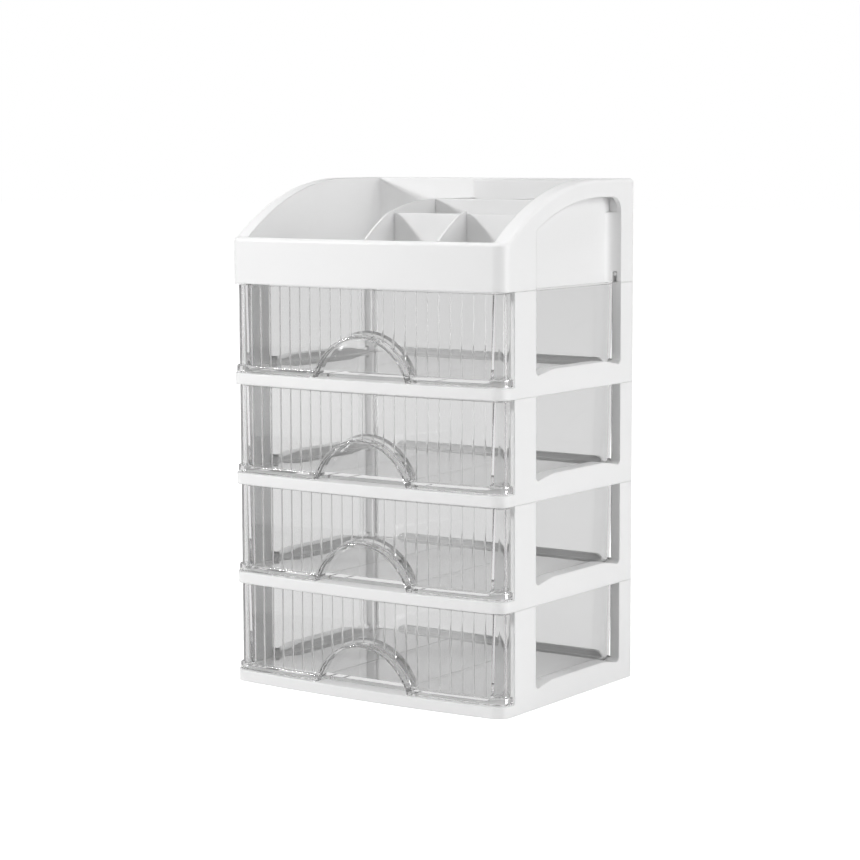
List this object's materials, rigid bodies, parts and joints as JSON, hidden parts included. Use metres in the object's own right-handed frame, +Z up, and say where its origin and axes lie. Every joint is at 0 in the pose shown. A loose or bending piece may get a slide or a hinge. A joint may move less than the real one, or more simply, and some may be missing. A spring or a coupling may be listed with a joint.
{
  "type": "desktop mini drawers",
  "caption": "Stacked desktop organizer: white tier frames with open humped side windows, clear ribbed drawers with arch pulls, and a divided top tray with curved sides.",
  "frame": {"origin": "centre of the footprint on the surface the unit stands on", "axes": "+Z up, drawers open towards -Y, +X to the right of somebody facing the drawers"},
  "size_m": [0.18, 0.137, 0.2785],
  "materials": {
    "white": "satin moulded polypropylene",
    "clear": "clear moulded polystyrene, faint grey tint"
  },
  "bodies": {
    "frame": {"tier_1": "white", "tier_2": "white", "tier_3": "white", "tier_4": "white", "tray": "white"},
    "drawer_body_1": {"drawer_1": "clear"},
    "drawer_body_2": {"drawer_2": "clear"},
    "drawer_body_3": {"drawer_3": "clear"},
    "drawer_body_4": {"drawer_4": "clear"}
  },
  "joints": [
    {"name": "drawer_1_slide", "type": "slide", "parent": "frame", "child": "drawer_body_1", "axis": [0, -1, 0], "range_m": [0, 0.095]},
    {"name": "drawer_2_slide", "type": "slide", "parent": "frame", "child": "drawer_body_2", "axis": [0, -1, 0], "range_m": [0, 0.095]},
    {"name": "drawer_3_slide", "type": "slide", "parent": "frame", "child": "drawer_body_3", "axis": [0, -1, 0], "range_m": [0, 0.095]},
    {"name": "drawer_4_slide", "type": "slide", "parent": "frame", "child": "drawer_body_4", "axis": [0, -1, 0], "range_m": [0, 0.095]}
  ]
}
